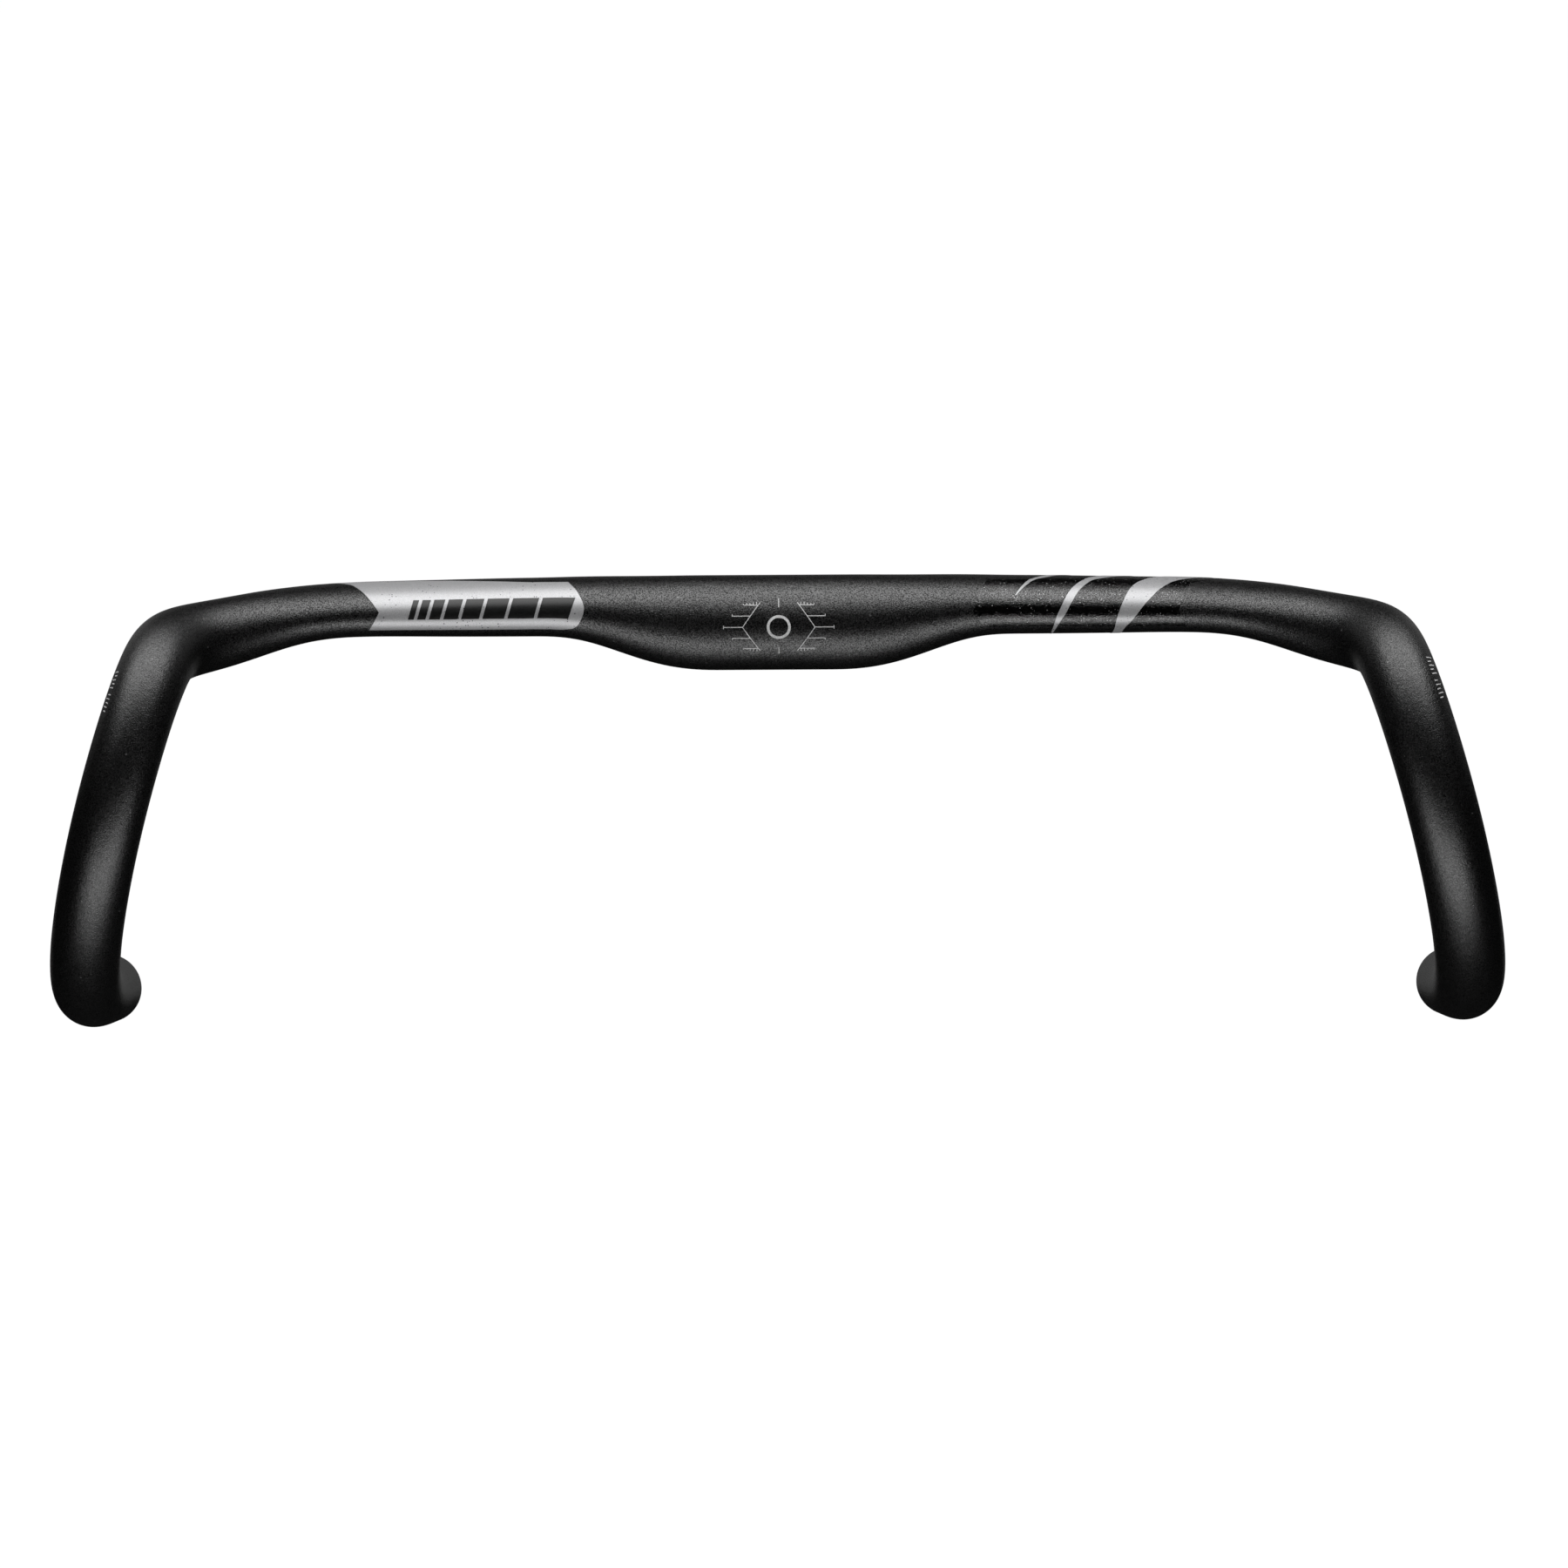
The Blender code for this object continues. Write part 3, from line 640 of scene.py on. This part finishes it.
make_tube(BLACK)
v, f = film(panel_nodes(-1.0, SILVER_INNER, SILVER_OUTER, True), (0.0, 0.05))
finish_mesh("silver_panel_film", v, f, SILVER, ["silver_panel"])
v, f = film(panel_nodes(1.0, GLOSS_INNER, GLOSS_OUTER), (0.0, 0.05))
finish_mesh("gloss_panel_film", v, f, GLOSS, ["gloss_panel"])
v, f = block_films((0.05, 0.09))
finish_mesh("panel_blocks_print", v, f, INK_BLACK, ["silver_panel_blocks"])
for name, rows in (("stripe_inner", STRIPE_INNER), ("stripe_middle", STRIPE_MIDDLE), ("stripe_outer", STRIPE_OUTER)):
    v, f = film(stripe_nodes(rows), (0.0, 0.09))
    finish_mesh(name + "_film", v, f, SILVER, [name])
v, f = scale_parts(-1.0)
finish_mesh("clamp_scale_right_print", v, f, INK_WHITE, ["clamp_scale_right"])
v, f = scale_parts(1.0)
finish_mesh("clamp_scale_left_print", v, f, INK_WHITE, ["clamp_scale_left"])
for name, (low, high) in zip(("centre_mark_top", "centre_mark_bottom"), CENTRE_TICK_TURNS):
    v, f = stroke([(0.0, (low - MARK_TURN) / PER_MM), (0.0, (high - MARK_TURN) / PER_MM)], LINE)
    finish_mesh(name + "_print", v, f, INK_WHITE, [name])
v, f = ring_film(*EMBLEM_RADII)
finish_mesh("centre_emblem_print", v, f, INK_WHITE, ["centre_emblem"])
v, f = size_parts(-1.0)
finish_mesh("size_marks_right_print", v, f, INK_WHITE, ["size_marks_right"])
v, f = size_parts(1.0)
finish_mesh("size_marks_left_print", v, f, INK_WHITE, ["size_marks_left"])

# ------------------------------------------------------------------------------------------------ studio
FLOOR_Z = -1.9
FLOOR_RADIUS = 14.0
WALL_HEIGHT = 9.0


def make_floor():
    """A pale floor that curves up into a pale wall all round, evenly lit from within."""
    profile = [(0.0, FLOOR_Z), (4.0, FLOOR_Z), (8.0, FLOOR_Z)]
    bend = 3.0
    for i in range(13):
        q = math.pi / 2.0 * i / 12
        profile.append((FLOOR_RADIUS - bend + bend * math.sin(q), FLOOR_Z + bend - bend * math.cos(q)))
    profile.append((FLOOR_RADIUS, FLOOR_Z + WALL_HEIGHT))
    steps = 64
    verts, faces = [(0.0, 0.0, FLOOR_Z)], []
    for r, z in profile[1:]:
        for k in range(steps):
            q = 2.0 * math.pi * k / steps
            verts.append((r * math.cos(q), r * math.sin(q), z))
    for k in range(steps):
        faces.append((0, 1 + k, 1 + (k + 1) % steps))
    for i in range(len(profile) - 2):
        p, n = 1 + i * steps, 1 + (i + 1) * steps
        for k in range(steps):
            j = (k + 1) % steps
            faces.append((p + k, n + k, n + j, p + j))
    mesh = bpy.data.meshes.new("floor")
    mesh.from_pydata(verts, [], faces)
    mesh.shade_smooth()
    m, t, p = node_material("floor")
    p.inputs["Base Color"].default_value = (0.92, 0.92, 0.92, 1.0)
    p.inputs["Roughness"].default_value = 0.9
    p.inputs["Specular IOR Level"].default_value = 0.1
    p.inputs["Emission Color"].default_value = (1.0, 1.0, 1.0, 1.0)
    p.inputs["Emission Strength"].default_value = 1.0
    mesh.materials.append(m)
    floor = bpy.data.objects.new("floor", mesh)
    bpy.context.scene.collection.objects.link(floor)
    floor.visible_glossy = False
    floor.visible_diffuse = False


def panel(name, elevation, azimuth, distance, size, radiance, centre=(0.0, 0.0, 0.0)):
    """A soft rectangular lamp seen from the bar at this elevation and azimuth (0 in front, 90 on the image's right)."""
    e, a = math.radians(elevation), math.radians(azimuth)
    way = Vector((math.sin(a) * math.cos(e), -math.cos(a) * math.cos(e), math.sin(e)))
    data = bpy.data.lights.new(name, "AREA")
    data.shape = "RECTANGLE"
    data.size, data.size_y = size
    data.energy = radiance * math.pi * size[0] * size[1]
    lamp = bpy.data.objects.new(name, data)
    lamp.location = Vector(centre) + way * distance
    # the lamp's x axis stays level, so that its width runs along the bar
    level = Vector((math.cos(a), math.sin(a), 0.0))
    side = way.cross(level)
    m = Matrix((
        (level.x, side.x, way.x, lamp.location.x),
        (level.y, side.y, way.y, lamp.location.y),
        (level.z, side.z, way.z, lamp.location.z),
        (0.0, 0.0, 0.0, 1.0),
    ))
    lamp.matrix_world = m
    lamp.visible_camera = False
    bpy.context.scene.collection.objects.link(lamp)


make_floor()
LEVEL = 3.3
panel("overhead_softbox", 90.0, 0.0, 1.6, (3.1, 1.80), LEVEL * 0.87, (0.0, -0.21, 0.0))
panel("side_softbox_left", 52.0, 90.0, 1.6, (0.8, 0.5), LEVEL * 0.45)
panel("side_softbox_right", 52.0, 270.0, 1.6, (0.8, 0.5), LEVEL * 0.45)
panel("arm_softbox_left", 90.0, 0.0, 1.0, (0.26, 0.50), LEVEL * 0.42, (-0.22, -0.05, 0.0))
panel("arm_softbox_right", 90.0, 0.0, 1.0, (0.26, 0.50), LEVEL * 0.42, (0.22, -0.05, 0.0))
panel("low_front_softbox", -44.0, 0.0, 1.0, (1.5, 0.48), LEVEL * 0.95)
panel("wing_strip_left", -63.0, 0.0, 1.0, (0.16, 0.16), LEVEL * 1.0, (-0.17, 0.0, 0.0))
panel("wing_strip_right", -63.0, 0.0, 1.0, (0.16, 0.16), LEVEL * 1.0, (0.17, 0.0, 0.0))
panel("rear_card", -6.0, 180.0, 2.0, (2.4, 1.3), LEVEL * 0.055)
panel("rear_fill_left", 20.0, 138.0, 1.8, (1.3, 1.3), LEVEL * 0.065)
panel("rear_fill_right", 20.0, 222.0, 1.8, (1.3, 1.3), LEVEL * 0.065)
world = bpy.data.worlds.new("studio")
world.use_nodes = True
world.node_tree.nodes["Background"].inputs["Color"].default_value = (1.0, 1.0, 1.0, 1.0)
world.node_tree.nodes["Background"].inputs["Strength"].default_value = 0.004
bpy.context.scene.world = world
bpy.context.scene.view_settings.view_transform = "Standard"
